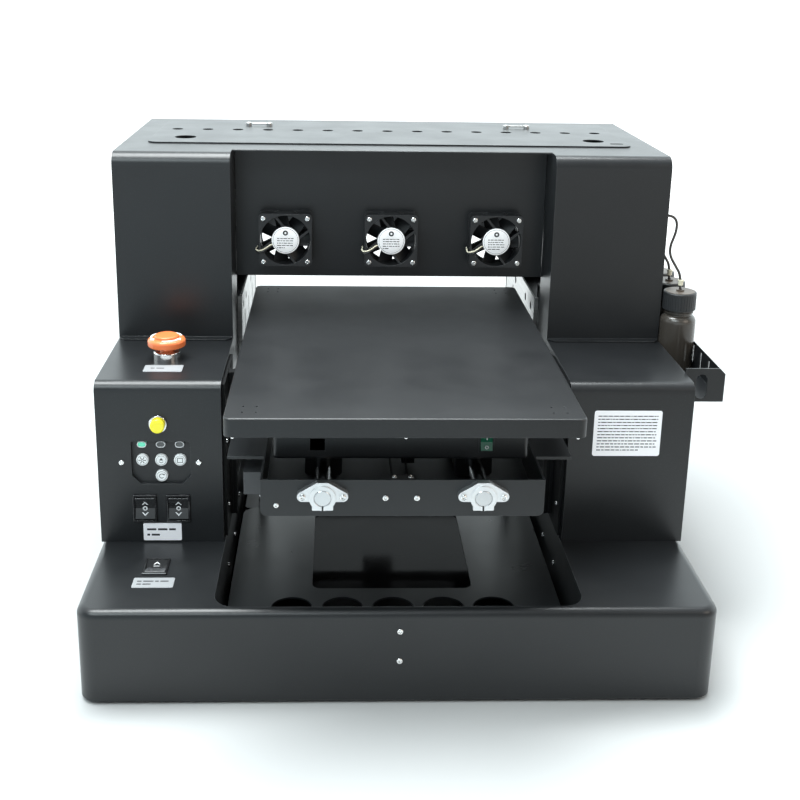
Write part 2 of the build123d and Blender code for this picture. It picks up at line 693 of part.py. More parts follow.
def make_carriage():
    """Head carriage with its rail block and belt clamp."""
    x = CARRIAGE_X
    shell = block(x - 50, x + 50, 78, BEAM_Y - 16, 330, 450)
    shell = fillet(shell.edges().filter_by(Axis.Z), 6)
    shell = fillet(shell.faces().sort_by(Axis.Z)[-1].edges(), 3)
    shell -= block(x - 47, x + 47, 81, BEAM_Y - 19, CARRIAGE_FLOOR, 447)
    shell -= block(HEAD_X - 22.3, HEAD_X + 22.3, 94.7, 165.3, 320, CARRIAGE_FLOOR + 1)
    shell -= block(LAMP_X - 13.3, LAMP_X + 13.3, 94.7, 165.3, 320, CARRIAGE_FLOOR + 1)
    shoe = block(x - 30, x + 30, BEAM_Y - 16, BEAM_Y - 2.5, BEAM_Z + 6, BEAM_Z + 34)
    shoe -= block(x - 40, x + 40, BEAM_Y - 8.4, BEAM_Y, BEAM_Z + 13.6, BEAM_Z + 26.4)
    run_z = BELT_Z - PULLEY_R - 0.35 - BELT_T / 2
    clamp = block(x - 12, x + 12, BEAM_Y - 17, BELT_Y + BELT_W + 4, run_z - 8, run_z + 5)
    clamp -= block(x - 20, x + 20, BELT_Y - 0.5, BELT_Y + BELT_W + 0.5, run_z - 1.2, run_z + 1.2)
    return shell + shoe + clamp


def make_print_head():
    """Print head with its nozzle block, resting on the carriage floor by a flange."""
    x = HEAD_X
    head = block(x - 22, x + 22, 95, 165, HEAD_Z + 8, 372)
    head += block(x - 16, x + 16, 105, 155, HEAD_Z, HEAD_Z + 8)
    return head + block(x - 26, x + 26, 90, 170, CARRIAGE_FLOOR, CARRIAGE_FLOOR + 4)


def make_uv_lamp():
    """Curing lamp with cooling fins, resting on the carriage floor by a flange."""
    x = LAMP_X
    lamp = block(x - 13, x + 13, 95, 165, HEAD_Z + 2, CARRIAGE_FLOOR)
    lamp += block(x - 15, x + 15, 92, 168, CARRIAGE_FLOOR, CARRIAGE_FLOOR + 3)
    for i in range(9):
        y = 99 + i * 7
        lamp += block(x - 13, x + 13, y, y + 3, CARRIAGE_FLOOR + 3, CARRIAGE_FLOOR + 20)
    return lamp


def make_capping():
    """Capping station under the parked print head."""
    x = HEAD_X
    station = block(x - 28, x + 34, 84, 180, TOWER_Z, 292)
    cap = block(x - 20, x + 20, 101, 159, 292, HEAD_Z - 1)
    cap -= block(x - 16.5, x + 16.5, 104.5, 155.5, 296, HEAD_Z + 1)
    return station + cap


def make_electronics():
    """Power supply under the left tower and control board in the right tower."""
    supply = block(-292, -194, 60, 259, FOOT_H + SHEET, 57)
    for i in range(14):
        supply -= block(-270, -216, 75 + i * 12, 79 + i * 12, 55, 60)
    board = block(292, 293.6, -60, 150, 120, 250)
    parts = board + block(279, 292, -40, 0, 190, 230)
    parts += block(284, 292, 20, 70, 150, 200)
    parts += block(282, 292, 90, 130, 210, 240)
    parts += block(293.6, 303, -50, -44, 130, 136)
    return [supply, parts]


def make_z_motors():
    motors = []
    for side in (-1, 1):
        x = side * SCREW_X
        motor = block(x - 21, x + 21, SCREW_Y - 21, SCREW_Y + 21, FOOT_H + SHEET, Z_MOTOR_TOP)
        motor = chamfer(motor.edges().filter_by(Axis.Z), 3)
        motors.append(motor - rod_z(5.6, x, SCREW_Y, Z_MOTOR_TOP - 12, Z_MOTOR_TOP + 1))
    return motors


def make_mains_inlet():
    """Three pin appliance inlet in the rear panel."""
    inlet = plate_y(31, 24, 2, -240, 140, REAR, REAR + 1.4)
    inlet += plate_y(27.2, 19.8, 2, -240, 140, REAR - 18, REAR)
    inlet -= plate_y(24, 16, 3, -240, 140, REAR - 15, REAR + 9)
    for dx, dz in ((-7, -2), (7, -2), (0, 3.5)):
        inlet += block(-240 + dx - 1, -240 + dx + 1, REAR - 16, REAR - 1, 140 + dz - 2.4, 140 + dz + 2.4)
    return inlet


# ---- lift ----
def make_lead_screw(side):
    """Trapezoidal lead screw; the crest is cut by shallow ring grooves."""
    x = side * SCREW_X
    screw = rod_z(SCREW_R, x, SCREW_Y, Z_MOTOR_TOP - 10, SCREW_TOP)
    for i in range(32):
        z = Z_MOTOR_TOP + 6 + i * 5
        ring = rod_z(SCREW_R + 1, x, SCREW_Y, z, z + 2) - rod_z(SCREW_R - 0.8, x, SCREW_Y, z - 1, z + 3)
        screw -= ring
    return chamfer(screw.edges().filter_by(GeomType.CIRCLE).sort_by(Axis.Z)[-1], 1)


def make_lift_frame():
    """Open tray between the guide shafts, with a side wing towards each tower."""
    tray = block(-TRAY_HALF, TRAY_HALF, TRAY_FRONT, TRAY_REAR, TRAY_Z0, TRAY_Z1)
    tray = fillet(tray.edges().filter_by(Axis.Y).group_by(Axis.Z)[0], 6)
    tray -= block(
        -TRAY_HALF + SHEET, TRAY_HALF - SHEET, TRAY_FRONT + SHEET, TRAY_REAR - SHEET, TRAY_Z0 + SHEET, TRAY_Z1 + 9,
    )
    for side in (-1, 1):
        tray -= rod_y(SHAFT_R + 0.6, side * SHAFT_X, TRAY_FRONT - 9, TRAY_REAR + 9, SHAFT_Z)
    tray -= rod_z(6, 0, Y_PULLEY_Y, TRAY_Z0 - 9, TRAY_Z0 + 9)
    wing = block(TRAY_HALF - 1, 165, WING_FRONT, 105, TRAY_Z1 - 3, TRAY_Z1)
    wing += block(163, 165, Z_RAIL_Y - 30, Z_RAIL_Y + 30, TRAY_Z1 - 30, TRAY_Z1)
    wing -= rod_z(8, SCREW_X, SCREW_Y, TRAY_Z1 - 9, TRAY_Z1 + 9)
    return tray + wing + mirror_x(wing)


def make_lift_blocks():
    """Rail shoes and lead screw nuts of the lift, and a spacer block on the left."""
    shoe = block(165, 173.5, Z_RAIL_Y - 16, Z_RAIL_Y + 16, 200, 240)
    shoe -= block(167.3, 180, Z_RAIL_Y - 6.5, Z_RAIL_Y + 6.5, 190, 250)
    nut = block(TRAY_HALF, 163, SCREW_Y - 15, SCREW_Y + 15, 186, 206)
    nut -= rod_z(SCREW_R + 0.08, SCREW_X, SCREW_Y, 180, 210)
    spacer = block(-150, -TRAY_HALF, -226, -196, 190, 213)
    return [shoe, mirror_x(shoe), nut, mirror_x(nut), spacer]


def shaft_support():
    """Flanged shaft support with two ears, a round boss and a slit clamp; local Z along the shaft."""
    ears = Pos(-18.4, 1.4) * Circle(4.9) + Pos(18.4, 1.4) * Circle(4.9)
    outline = make_hull((ears + Pos(0, 14.1) * Rectangle(10.6, 2.0)).edges())
    clamp_points = [(-12.5, -2.0), (-9.6, -7.8), (-9.6, -11.8), (9.6, -11.8), (9.6, -7.8), (12.5, -2.0)]
    clamp = make_face(Polyline(*clamp_points, close=True))
    body = extrude(outline, SUPPORT_T) + extrude(clamp, SUPPORT_T + 0.8)
    body = fillet(body.edges().filter_by(Axis.Z), 0.9)
    body += Cylinder(12.2, SUPPORT_T + 0.8, align=(Align.CENTER, Align.CENTER, Align.MIN))
    body -= Pos(0, 0, 5) * Cylinder(SHAFT_R, 30)
    body -= Pos(0, -10, 5) * Box(1.6, 20, 30)
    for side in (-1, 1):
        body -= Pos(side * 18.4, 1.4, 5) * Cylinder(2.2, 30)
    return body


def make_shaft_supports():
    front = Plane((0, TRAY_FRONT, SHAFT_Z), x_dir=(1, 0, 0), z_dir=(0, -1, 0))
    rear = Plane((0, TRAY_REAR, SHAFT_Z), x_dir=(-1, 0, 0), z_dir=(0, 1, 0))
    seats = [front, rear]
    return [seat * Pos(x, 0, 0) * shaft_support() for seat in seats for x in (-SHAFT_X, SHAFT_X)]


def make_guide_shafts():
    shafts = []
    for x in (-SHAFT_X, SHAFT_X):
        shaft = rod_y(SHAFT_R, x, TRAY_FRONT - SUPPORT_T - 0.9, TRAY_REAR + SUPPORT_T + 0.9, SHAFT_Z)
        shafts.append(chamfer(shaft.edges().filter_by(GeomType.CIRCLE), 0.8))
    return shafts


def make_y_motor():
    motor = block(-21, 21, Y_PULLEY_Y - 21, Y_PULLEY_Y + 21, TRAY_Z0 - 40, TRAY_Z0)
    motor = chamfer(motor.edges().filter_by(Axis.Z), 3)
    return motor - rod_z(3, 0, Y_PULLEY_Y, TRAY_Z0 - 5, TRAY_Z0 + 5)


def make_y_belt():
    """Flat belt loop in the tray with its front idler and idler bracket."""
    loop = belt_loop(Y_PULLEY_Y - Y_IDLER_Y, BELT_W)
    seat = Plane((0, (Y_PULLEY_Y + Y_IDLER_Y) / 2, BELT_FLOOR_Z), x_dir=(0, 1, 0), z_dir=(0, 0, 1))
    idler = rod_z(PULLEY_R, 0, Y_IDLER_Y, TRAY_Z0 + SHEET, BELT_FLOOR_Z + 10)
    bracket = block(-12, 12, TRAY_FRONT + SHEET, -263, TRAY_Z0 + SHEET, TRAY_Z1 - 2)
    return [seat * loop, idler, bracket]


def make_y_pulley():
    return Pos(0, Y_PULLEY_Y, BELT_FLOOR_Z + BELT_W / 2) * drive_pulley()


# ---- platen ----
def make_platen():
    """Flat bed with turned down edges, rounded corners and small air holes."""
    depth = PLATEN_REAR - PLATEN_FRONT
    centre = (PLATEN_REAR + PLATEN_FRONT) / 2
    bed = plate_z(2 * PLATEN_HALF, depth, 7, 0, centre, PLATEN_Z - PLATEN_LIP, PLATEN_Z)
    bed = fillet(bed.faces().sort_by(Axis.Z)[-1].edges(), 2.0)
    bed -= plate_z(2 * PLATEN_HALF - 4, depth - 4, 5, 0, centre, PLATEN_Z - PLATEN_LIP - 9, PLATEN_Z - 3)
    for x in (-145, -133, 133, 145):
        for y in (PLATEN_FRONT + 16, PLATEN_FRONT + 30, PLATEN_REAR - 30, PLATEN_REAR - 16):
            bed -= rod_z(1.2, x, y, PLATEN_Z - 9, PLATEN_Z + 9)
    return bed


def make_suction_box():
    """Air box under the bed, with a power socket hole and a switch frame."""
    box = block(-BOX_HALF, BOX_HALF, BOX_FRONT, BOX_REAR, BOX_Z, PLATEN_Z - 3)
    box = fillet(box.edges().filter_by(Axis.Z), 4)
    box = fillet(box.faces().sort_by(Axis.Z)[0].edges(), 3)
    box -= block(
        -BOX_HALF + SHEET, BOX_HALF - SHEET, BOX_FRONT + SHEET, BOX_REAR - SHEET, BOX_Z + SHEET, PLATEN_Z + 9,
    )
    box -= block(-86, -72, BOX_FRONT - 9, BOX_FRONT + 9, 240, 252)
    frame = block(73.5, 88.5, BOX_FRONT - 1.2, BOX_FRONT + 6, 238.5, 259.5)
    box += frame
    box -= block(75, 87, BOX_FRONT - 9, BOX_FRONT + 20, 240, 258)
    return box


def make_suction_rocker():
    """Small green rocker, drawn tipped to its off side."""
    points = [(-8.1, 1.6), (0, 0), (8.1, 1.6), (7.2, -4.5), (-7.2, -4.5)]
    side = make_face(Polyline(*points, close=True))
    width = 11.2
    key = extrude(Plane((-width / 2, 0, 0), x_dir=(0, 1, 0), z_dir=(1, 0, 0)) * side, width)
    seat = Plane((81, BOX_FRONT - 1.0, 249), x_dir=(1, 0, 0), z_dir=(0, -1, 0))
    return seat * Pos(0, 0, -2) * Rot(-6, 0, 0) * Pos(0, 0, 2) * key


def make_shaft_bearings():
    """Four linear bearing blocks under the air box and the belt clamp."""
    blocks = []
    for x in (-SHAFT_X, SHAFT_X):
        for y in (-205, -135):
            body = block(x - 18, x + 18, y, y + 35, TRAY_Z0 + 6, BOX_Z)
            body = chamfer(body.edges().filter_by(Axis.Y).group_by(Axis.Z)[0], 3)
            blocks.append(body - rod_y(SHAFT_R + 0.05, x, y - 5, y + 40, SHAFT_Z))
    run_x = PULLEY_R + 0.35 + BELT_T / 2
    z0 = BELT_FLOOR_Z
    clamp = block(run_x - 3, run_x + 10, -175, -150, z0 - 4, BOX_Z)
    clamp -= block(run_x - 1.2, run_x + 1.2, -180, -145, z0 - 0.5, z0 + BELT_W + 0.5)
    return blocks + [clamp]


def main():
    save("base_shell", *make_base_shell())
    save("bottom_plate", make_bottom_plate())
    save("rubber_feet", *make_feet())
    save("well_floor", *make_well_floor())
    save("left_tower_cover", make_left_tower())
    save("right_tower_cover", make_tower())
    save("upper_cover", make_upper_cover())
    save("service_lid", make_service_lid())
    save("lid_handles", *make_lid_handles())
    save("rear_panel", make_rear_panel())
    save("inner_side_plates", *make_inner_side_plates())
    save("z_rails", *make_z_rails())
    save("fan_panel", make_fan_panel())
    save("fan_frames", *[make_fan_frame(x) for x in fan_centres()])
    for i, x in enumerate(fan_centres()):
        save(f"fan_impeller_{i + 1}", make_impeller(x))
    save("control_panel", make_control_panel())
    save("status_lenses", *make_lenses())
    for i, place in enumerate(key_places()):
        save(f"panel_button_{i + 1}", make_key(*place))
    save("button_collars", *make_collars())
    save("estop_head", make_estop_head())
    save("pilot_button", make_pilot_button())
    save("rocker_bezels", *[seat * rocker_frame() for seat in rocker_places()])
    for name, seat in zip(("rocker_left", "rocker_right", "rocker_deck"), rocker_places()):
        save(name, seat * rocker_key())
    save("label_stickers", *make_labels())
    save("cover_screws", *make_screws())
    save("ink_rack", make_ink_rack())
    save("ink_bottles", *[make_bottle(y) for y in bottle_ys()])
    save("bottle_caps", *[make_cap(y) for y in bottle_ys()])
    save("ink_tubes", *[make_tube(y) for y in bottle_ys()])
    save("gantry_beam", *make_gantry())
    save("x_motor", make_x_motor())
    save("x_belt", *make_x_belt())
    save("x_pulley", make_x_pulley())
    save("print_carriage", make_carriage())
    save("print_head", make_print_head())
    save("uv_lamp", make_uv_lamp())
    save("capping_station", make_capping())
    save("base_electronics", *make_electronics())
    save("z_motors", *make_z_motors())
    save("mains_inlet", make_mains_inlet())
    save("lead_screw_left", make_lead_screw(-1))
    save("lead_screw_right", make_lead_screw(1))
    save("lift_frame", make_lift_frame())
    save("lift_blocks", *make_lift_blocks())
    save("shaft_supports", *make_shaft_supports())
    save("guide_shafts", *make_guide_shafts())
    save("y_motor", make_y_motor())
    save("y_belt", *make_y_belt())
    save("y_pulley", make_y_pulley())
    save("platen", make_platen())
    save("suction_box", make_suction_box())
    save("suction_rocker", make_suction_rocker())
    save("shaft_bearings", *make_shaft_bearings())


main()
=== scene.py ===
import json
import math
import random

import bmesh
import bpy
from mathutils import Matrix, Vector


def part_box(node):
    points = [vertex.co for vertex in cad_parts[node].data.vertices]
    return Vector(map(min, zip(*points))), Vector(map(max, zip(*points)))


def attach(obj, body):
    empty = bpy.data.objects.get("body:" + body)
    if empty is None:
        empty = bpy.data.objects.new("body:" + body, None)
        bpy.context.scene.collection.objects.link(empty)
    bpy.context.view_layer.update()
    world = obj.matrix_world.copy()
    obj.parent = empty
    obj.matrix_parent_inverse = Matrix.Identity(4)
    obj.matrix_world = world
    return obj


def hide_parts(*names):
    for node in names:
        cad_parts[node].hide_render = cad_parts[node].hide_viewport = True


# Looks of the flatbed UV printer, in metres, in the frame of the CAD.
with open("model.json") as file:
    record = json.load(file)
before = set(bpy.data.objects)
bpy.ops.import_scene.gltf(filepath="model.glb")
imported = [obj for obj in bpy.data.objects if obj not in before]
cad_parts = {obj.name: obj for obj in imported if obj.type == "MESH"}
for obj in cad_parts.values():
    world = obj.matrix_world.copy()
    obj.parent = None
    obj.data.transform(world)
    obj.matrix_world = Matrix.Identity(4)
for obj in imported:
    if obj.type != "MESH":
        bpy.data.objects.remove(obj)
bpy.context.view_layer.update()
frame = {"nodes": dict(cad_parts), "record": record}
nodes = frame["nodes"]
scene = bpy.context.scene

LEFT = (-1, 0, 0)
RIGHT = (1, 0, 0)
FRONT = (0, -1, 0)
BACK = (0, 1, 0)
DOWN = (0, 0, -1)
UP = (0, 0, 1)


# ---- shader helpers ----
def noise(tree, source, scale, detail=3.0):
    node = tree.nodes.new("ShaderNodeTexNoise")
    node.inputs["Scale"].default_value = scale
    node.inputs["Detail"].default_value = detail
    tree.links.new(source, node.inputs["Vector"])
    return node.outputs["Fac"]


def ranged(tree, value, low, high, start=0.0, end=1.0, smooth=False):
    """Go from start to end as a value goes from low to high."""
    node = tree.nodes.new("ShaderNodeMapRange")
    if smooth:
        node.interpolation_type = "SMOOTHSTEP"
    node.inputs["From Min"].default_value = low
    node.inputs["From Max"].default_value = high
    node.inputs["To Min"].default_value = start
    node.inputs["To Max"].default_value = end
    tree.links.new(value, node.inputs["Value"])
    return node.outputs["Result"]


def mixed(tree, factor, first, second):
    """Blend of two colours, each a tuple or a socket."""
    node = tree.nodes.new("ShaderNodeMix")
    node.data_type = "RGBA"
    tree.links.new(factor, node.inputs["Factor"])
    for socket, value in ((node.inputs["A"], first), (node.inputs["B"], second)):
        if isinstance(value, tuple):
            socket.default_value = (*value, 1)
        else:
            tree.links.new(value, socket)
    return node.outputs["Result"]


def product(tree, first, second):
    """Product of a socket and a socket or a number."""
    node = tree.nodes.new("ShaderNodeMath")
    node.operation = "MULTIPLY"
    tree.links.new(first, node.inputs[0])
    if isinstance(second, float):
        node.inputs[1].default_value = second
    else:
        tree.links.new(second, node.inputs[1])
    return node.outputs[0]


def object_place(tree, grain):
    """Object coordinates, stretched along the grain of brushed metal."""
    place = tree.nodes.new("ShaderNodeTexCoord").outputs["Object"]
    if not grain:
        return place
    stretch = tree.nodes.new("ShaderNodeMapping")
    stretch.inputs["Scale"].default_value = grain
    tree.links.new(place, stretch.inputs["Vector"])
    return stretch.outputs["Vector"]


def edge_wear_and_highlight(tree, source, soft_normal, wear_and_highlight):
    """Patchy wear and a painted edge highlight, where the rounded normal leaves the flat one."""
    flat = tree.nodes.new("ShaderNodeNewGeometry")
    dot = tree.nodes.new("ShaderNodeVectorMath")
    dot.operation = "DOT_PRODUCT"
    tree.links.new(soft_normal, dot.inputs[0])
    tree.links.new(flat.outputs["Normal"], dot.inputs[1])
    rim = ranged(tree, dot.outputs["Value"], 0.75, 0.97, 1.0, 0.0)
    patch = ranged(tree, noise(tree, source, 60.0, 5.0), 0.35, 0.65, 0.15, 1.0)
    return product(tree, product(tree, rim, patch), wear_and_highlight)


def soft_edge(tree, radius):
    """Normal that rounds every edge to a radius."""
    node = tree.nodes.new("ShaderNodeBevel")
    node.samples = 4
    node.inputs["Radius"].default_value = radius
    return node.outputs["Normal"]


def relief_normal(tree, source, size, depth, soft_normal):
    node = tree.nodes.new("ShaderNodeBump")
    node.inputs["Strength"].default_value = 1.0
    node.inputs["Distance"].default_value = depth
    tree.links.new(noise(tree, source, size, 2.0), node.inputs["Height"])
    if soft_normal:
        tree.links.new(soft_normal, node.inputs["Normal"])
    return node.outputs["Normal"]


def make_material(name, colour, rough, metal=0.0, speck=0.0, speck_size=900.0, grain=None, bump=0.0,
                  bump_size=1400.0, wear_and_highlight=0.0, wear_and_highlight_colour=(0.35, 0.35, 0.36), edge=0.0006, rough_vary=0.08,
                  coat=0.0, coat_rough=0.1, emission=None, smudge=0.5, specular=0.5):
    """Principled material with mottled colour, uneven roughness, fine bump and rounded edges that are slightly worn
    and carry a painted highlight.
    """
    mat = bpy.data.materials.new(name)
    mat.use_nodes = True
    tree = mat.node_tree
    shader = tree.nodes["Principled BSDF"]
    shader.inputs["Metallic"].default_value = metal
    shader.inputs["Coat Weight"].default_value = coat
    shader.inputs["Coat Roughness"].default_value = coat_rough
    shader.inputs["Specular IOR Level"].default_value = specular
    if emission:
        shader.inputs["Emission Color"].default_value = (*emission[:3], 1)
        shader.inputs["Emission Strength"].default_value = emission[3]
    source = object_place(tree, grain)

    cloud = ranged(tree, noise(tree, source, 9.0, 4.0), 0.3, 0.7)
    darker = tuple(c * (1.0 - 0.5 * smudge) for c in colour)
    lighter = tuple(min(1.0, c * (1.0 + smudge) + 0.002) for c in colour)
    shade = mixed(tree, cloud, darker, lighter)
    if speck:
        dots = ranged(tree, noise(tree, source, speck_size, 1.0), 0.62, 0.78, 0.0, speck)
        shade = mixed(tree, dots, shade, tuple(min(1.0, c * 3 + 0.03) for c in colour))
    soft_normal = soft_edge(tree, edge) if edge else None
    # Lighter colour along the edges: partly real wear, partly a painted highlight line.
    if wear_and_highlight and edge:
        shade = mixed(tree, edge_wear_and_highlight(tree, source, soft_normal, wear_and_highlight), shade, wear_and_highlight_colour)
    tree.links.new(shade, shader.inputs["Base Color"])

    smooth = max(0.02, rough - rough_vary)
    dull = min(1.0, rough + rough_vary)
    uneven = ranged(tree, noise(tree, source, 22.0, 5.0), 0.3, 0.7, smooth, dull)
    tree.links.new(uneven, shader.inputs["Roughness"])
    normal = relief_normal(tree, source, bump_size, bump, soft_normal) if bump else soft_normal
    if normal:
        tree.links.new(normal, shader.inputs["Normal"])
    return mat


# ---- materials, one for each slot of the record ----
MATS = {
    "black_paint": make_material(
        "powder_black", (0.0100, 0.0112, 0.0125), 0.33, speck=0.22, bump=0.00003, bump_size=1500,
        wear_and_highlight=0.6, wear_and_highlight_colour=(0.24, 0.25, 0.26), smudge=0.07, rough_vary=0.025),
    "bed_black": make_material(
        "bed_black", (0.0120, 0.0130, 0.0142), 0.36, speck=0.2, bump=0.00002, bump_size=2200,
        wear_and_highlight=0.6, wear_and_highlight_colour=(0.26, 0.27, 0.28), smudge=0.08, rough_vary=0.03),
    "bare_steel": make_material(
        "brushed_steel", (0.50, 0.50, 0.49), 0.34, metal=1.0, grain=(1, 1, 40), bump=0.00001,
        bump_size=60, wear_and_highlight=0.2, wear_and_highlight_colour=(0.8, 0.8, 0.8), smudge=0.2),
    "cast_alloy": make_material(
        "cast_alloy", (0.78, 0.79, 0.80), 0.40, metal=1.0, bump=0.00014, bump_size=420,
        wear_and_highlight=0.5, wear_and_highlight_colour=(0.95, 0.95, 0.95), smudge=0.12, edge=0.0008, rough_vary=0.12),
    "bright_screw": make_material(
        "bright_screw", (0.86, 0.86, 0.85), 0.16, metal=1.0, bump=0.000006, bump_size=900,
        smudge=0.08, edge=0.0003),
    "shaft_steel": make_material(
        "shaft_steel", (0.62, 0.63, 0.64), 0.16, metal=1.0, grain=(1, 30, 1), bump=0.000004,
        bump_size=80, smudge=0.1, edge=0.0004),
    "black_plastic": make_material(
        "black_plastic", (0.016, 0.017, 0.0185), 0.40, speck=0.15, bump=0.00002, bump_size=1300,
        wear_and_highlight=0.5, wear_and_highlight_colour=(0.10, 0.10, 0.11), smudge=0.15, edge=0.0004, rough_vary=0.05),
    "gloss_black": make_material(
        "gloss_black", (0.010, 0.010, 0.011), 0.16, bump=0.000006, bump_size=500,
        wear_and_highlight=0.4, wear_and_highlight_colour=(0.08, 0.08, 0.085), smudge=0.2, edge=0.0005, coat=0.5),
    "foot_rubber": make_material(
        "foot_rubber", (0.02, 0.02, 0.02), 0.8, bump=0.00006, bump_size=700, smudge=0.3),
    "belt_rubber": make_material(
        "belt_rubber", (0.016, 0.016, 0.016), 0.7, bump=0.00005, bump_size=900, smudge=0.3),
    # The keys' emission is a painted glow that lightens their faces.
    "key_grey": make_material(
        "key_grey", (0.84, 0.87, 0.87), 0.36, bump=0.00002, bump_size=900, smudge=0.06,
        emission=(0.85, 0.88, 0.88, 0.10)),
    "lens": make_material(
        "lens_dark", (0.055, 0.06, 0.062), 0.2, bump=0.00001, bump_size=600, smudge=0.2, coat=0.6),
    "stop_red": make_material(
        "stop_orange", (0.82, 0.19, 0.055), 0.32, bump=0.00001, bump_size=900,
        wear_and_highlight=0.4, wear_and_highlight_colour=(1.0, 0.62, 0.40), smudge=0.08, edge=0.0007, coat=0.3),
    "button_yellow": make_material(
        "button_yellow", (0.92, 0.83, 0.03), 0.3, bump=0.00001, bump_size=700, smudge=0.06,
        edge=0.0005, coat=0.3, emission=(0.92, 0.82, 0.02, 0.16)),
    "switch_green": make_material(
        "switch_green", (0.004, 0.085, 0.045), 0.2, bump=0.00001, bump_size=600, smudge=0.2,
        coat=0.5, emission=(0.0, 0.2, 0.09, 0.05)),
    # The label film's emission is a painted glow that lightens the labels.
    "label_white": make_material(
        "label_film", (0.90, 0.91, 0.94), 0.34, bump=0.00001, bump_size=800, smudge=0.04,
        edge=0.0, emission=(0.9, 0.9, 0.94, 0.12)),
    "bottle_black": make_material(
        "bottle_black", (0.042, 0.036, 0.030), 0.24, bump=0.00004, bump_size=260, smudge=0.3,
        coat=0.3, coat_rough=0.2),
    "tube_clear": make_material(
        "tube_ink", (0.030, 0.024, 0.020), 0.22, bump=0.00001, bump_size=700, smudge=0.4,
        edge=0.0, coat=0.6),
    "circuit_green": make_material(
        "circuit_green", (0.02, 0.13, 0.06), 0.4, speck=0.5, speck_size=300, bump=0.00008,
        bump_size=300, smudge=0.3),
    "motor_black": make_material(
        "motor_black", (0.022, 0.022, 0.024), 0.45, bump=0.00004, bump_size=700,
        wear_and_highlight=0.5, wear_and_highlight_colour=(0.3, 0.3, 0.3), smudge=0.3),
}

# ---- materials of single faces and small pieces ----
PRINT_BLACK = make_material("print_black", (0.03, 0.03, 0.032), 0.5, smudge=0.2, edge=0.0)
PRINT_WHITE = make_material("print_white", (0.80, 0.81, 0.82), 0.45, smudge=0.05, edge=0.0)
LENS_GREEN = make_material(
    "lens_green", (0.12, 0.62, 0.42), 0.25, bump=0.00001, smudge=0.15, coat=0.5,
    emission=(0.12, 0.75, 0.48, 0.35))
# The hub labels' emission is a painted glow that lightens them.
HUB_WHITE = make_material(
    "hub_film", (0.90, 0.91, 0.92), 0.35, bump=0.000008, smudge=0.05, edge=0.0,
    emission=(0.9, 0.9, 0.92, 0.12))
IVORY = make_material("tie_ivory", (0.78, 0.74, 0.58), 0.45, smudge=0.1, edge=0.0004)
# Brownish tone of the ink bottles' cap tops: a painted highlight.
CAP_TOP_HIGHLIGHT = make_material("cap_top_painted_highlight", (0.085, 0.066, 0.052), 0.38, bump=0.00003, smudge=0.25, edge=0.0)
FLOOR_SHEET = make_material(
    "floor_sheet", (0.0100, 0.0112, 0.0125), 0.30, speck=0.2, bump=0.00003, bump_size=1500,
    smudge=0.08, edge=0.0, rough_vary=0.03, specular=0.32)
# Darker, glossier copy of the black paint for the bottom plate seen through the well floor's window: the darker
# colour is painted shade under the well floor.
PLATE_SHADE_GLOSS = make_material(
    "plate_gloss_painted_shade", (0.004, 0.004, 0.0045), 0.10, bump=0.00003, bump_size=40, smudge=0.2,
    edge=0.0, rough_vary=0.03, specular=0.03)
# Darker copy of the black paint for the rails on the towers' inner walls: painted shade of the walls facing into
# the well.
RAIL_SHADE_BLACK = make_material(
    "rail_black_painted_shade", (0.008, 0.0085, 0.009), 0.5, speck=0.2, bump=0.00003, bump_size=1500,
    wear_and_highlight=0.3, wear_and_highlight_colour=(0.1, 0.1, 0.105), smudge=0.1, specular=0.2)
# Darker copy of the label film for the labels' top faces: painted shade on the faces that take the most light.
LABEL_TOP_SHADE = make_material("label_top_painted_shade", (0.30, 0.31, 0.32), 0.4, bump=0.00001, bump_size=800, smudge=0.04, edge=0.0)
BLOCK_DARK = make_material(
    "block_dark", (0.045, 0.047, 0.050), 0.45, bump=0.00004, bump_size=500,
    wear_and_highlight=0.4, wear_and_highlight_colour=(0.2, 0.2, 0.2), smudge=0.15)
OWN_MATERIAL = {"well_floor": FLOOR_SHEET, "bottom_plate": PLATE_SHADE_GLOSS, "z_rails": RAIL_SHADE_BLACK}


def second_material(node_name, mat, chosen):
    """Give a second material to the faces of a node that a test picks."""
    mesh = nodes[node_name].data
    mesh.materials.append(mat)
    for face in mesh.polygons:
        if chosen(face):
            face.material_index = 1


def is_spacer(face):
    """Faces of the dark spacer at the front left of the lift blocks."""
    return face.center.x < -0.13 and face.center.y < -0.19


for part in frame["record"]["subparts"]:
    materials = nodes[part["node"]].data.materials
    materials.clear()
    materials.append(OWN_MATERIAL.get(part["node"], MATS[part["material_slot"]]))
# Top-facing faces of the stickers get the darker label film: painted shade.
second_material("label_stickers", LABEL_TOP_SHADE, lambda face: face.normal.z > 0.9)
second_material("lift_blocks", BLOCK_DARK, is_spacer)


# ---- mesh helpers ----
# thickness of printed marks: on labels, on keys
INK = 0.00005
KEY_INK = 0.00008


def add_mesh(name, bm, mat, body):
    """Finish a piece: smooth with sharp corners, riding on its body."""
    mesh = bpy.data.meshes.new(name)
    bmesh.ops.recalc_face_normals(bm, faces=bm.faces)
    bm.to_mesh(mesh)
    bm.free()
    mesh.materials.append(mat)
    obj = bpy.data.objects.new(name, mesh)
    scene.collection.objects.link(obj)
    mesh.polygons.foreach_set("use_smooth", [True] * len(mesh.polygons))
    mesh.set_sharp_from_angle(angle=math.radians(35))
    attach(obj, body)
    return obj


def at(point, normal=FRONT, up=UP):
    """Matrix at a point whose local Z is the outward normal and local Y is up."""
    z = Vector(normal).normalized()
    x = Vector(up).cross(z).normalized()
    basis = Matrix((x, z.cross(x), z)).transposed().to_4x4()
    return Matrix.Translation(Vector(point)) @ basis


def shifted(place, x, y, z=0.0):
    return place @ Matrix.Translation((x, y, z))


def turned(place, degrees, axis="Z"):
    return place @ Matrix.Rotation(math.radians(degrees), 4, axis)


